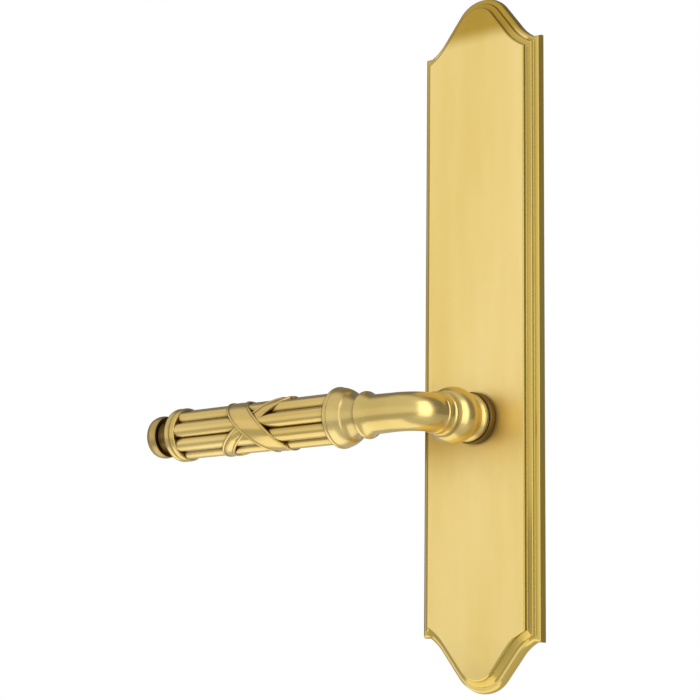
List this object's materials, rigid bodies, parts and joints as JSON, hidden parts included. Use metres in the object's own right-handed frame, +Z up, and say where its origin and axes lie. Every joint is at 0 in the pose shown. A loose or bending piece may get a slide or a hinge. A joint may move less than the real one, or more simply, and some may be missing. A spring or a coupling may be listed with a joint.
{
  "type": "multipoint door lever handle set",
  "caption": "Long brass door plate with domed, stepped ends and a reeded lever with crossed ribbons, on a sprung square spindle for a multipoint lock.",
  "frame": {"origin": "on the spindle's axis, in the plane of the door face that the plate lies against", "axes": "+X to the right and +Z up for someone facing the handle, +Y into the door along the spindle; the lever points to -X"},
  "size_m": [0.1494, 0.084, 0.254],
  "materials": {
    "plate_brass": "satin polished",
    "collar_brass": "dark antique",
    "lever_brass": "polished",
    "grip_brass": "satin polished",
    "nylon": "moulded",
    "post_steel": "zinc plated",
    "zinc_plated_steel": "pressed, zinc plated",
    "screw_steel": "plated",
    "spring_steel": "oiled spring steel",
    "spindle_steel": "cold drawn"
  },
  "bodies": {
    "plate": {"escutcheon_plate": "plate_brass", "rose_collar": "collar_brass", "shank_bush": "nylon", "thrust_washer": "collar_brass", "upper_post": "post_steel", "lower_post": "post_steel", "cassette_housing": "zinc_plated_steel", "cassette_cover": "zinc_plated_steel", "cassette_screws": "screw_steel", "return_spring_left": "spring_steel", "return_spring_right": "spring_steel"},
    "lever": {"spindle": "spindle_steel", "lever_neck": "lever_brass", "bell_ferrule": "lever_brass", "tie_rod": "screw_steel", "reeded_grip": "grip_brass", "crossed_ribbons": "grip_brass", "end_ring": "lever_brass", "end_button": "lever_brass", "rotor": "zinc_plated_steel", "retaining_ring": "spring_steel"}
  },
  "joints": [
    {"name": "lever_turn", "type": "hinge", "parent": "plate", "child": "lever", "pos_m": [0, 0, 0], "axis": [0, 1, 0], "range_deg": [-43, 46.5], "stiffness_Nm_per_rad": 2, "springref_deg": 4.3, "deforming": ["return_spring_left", "return_spring_right"]}
  ]
}
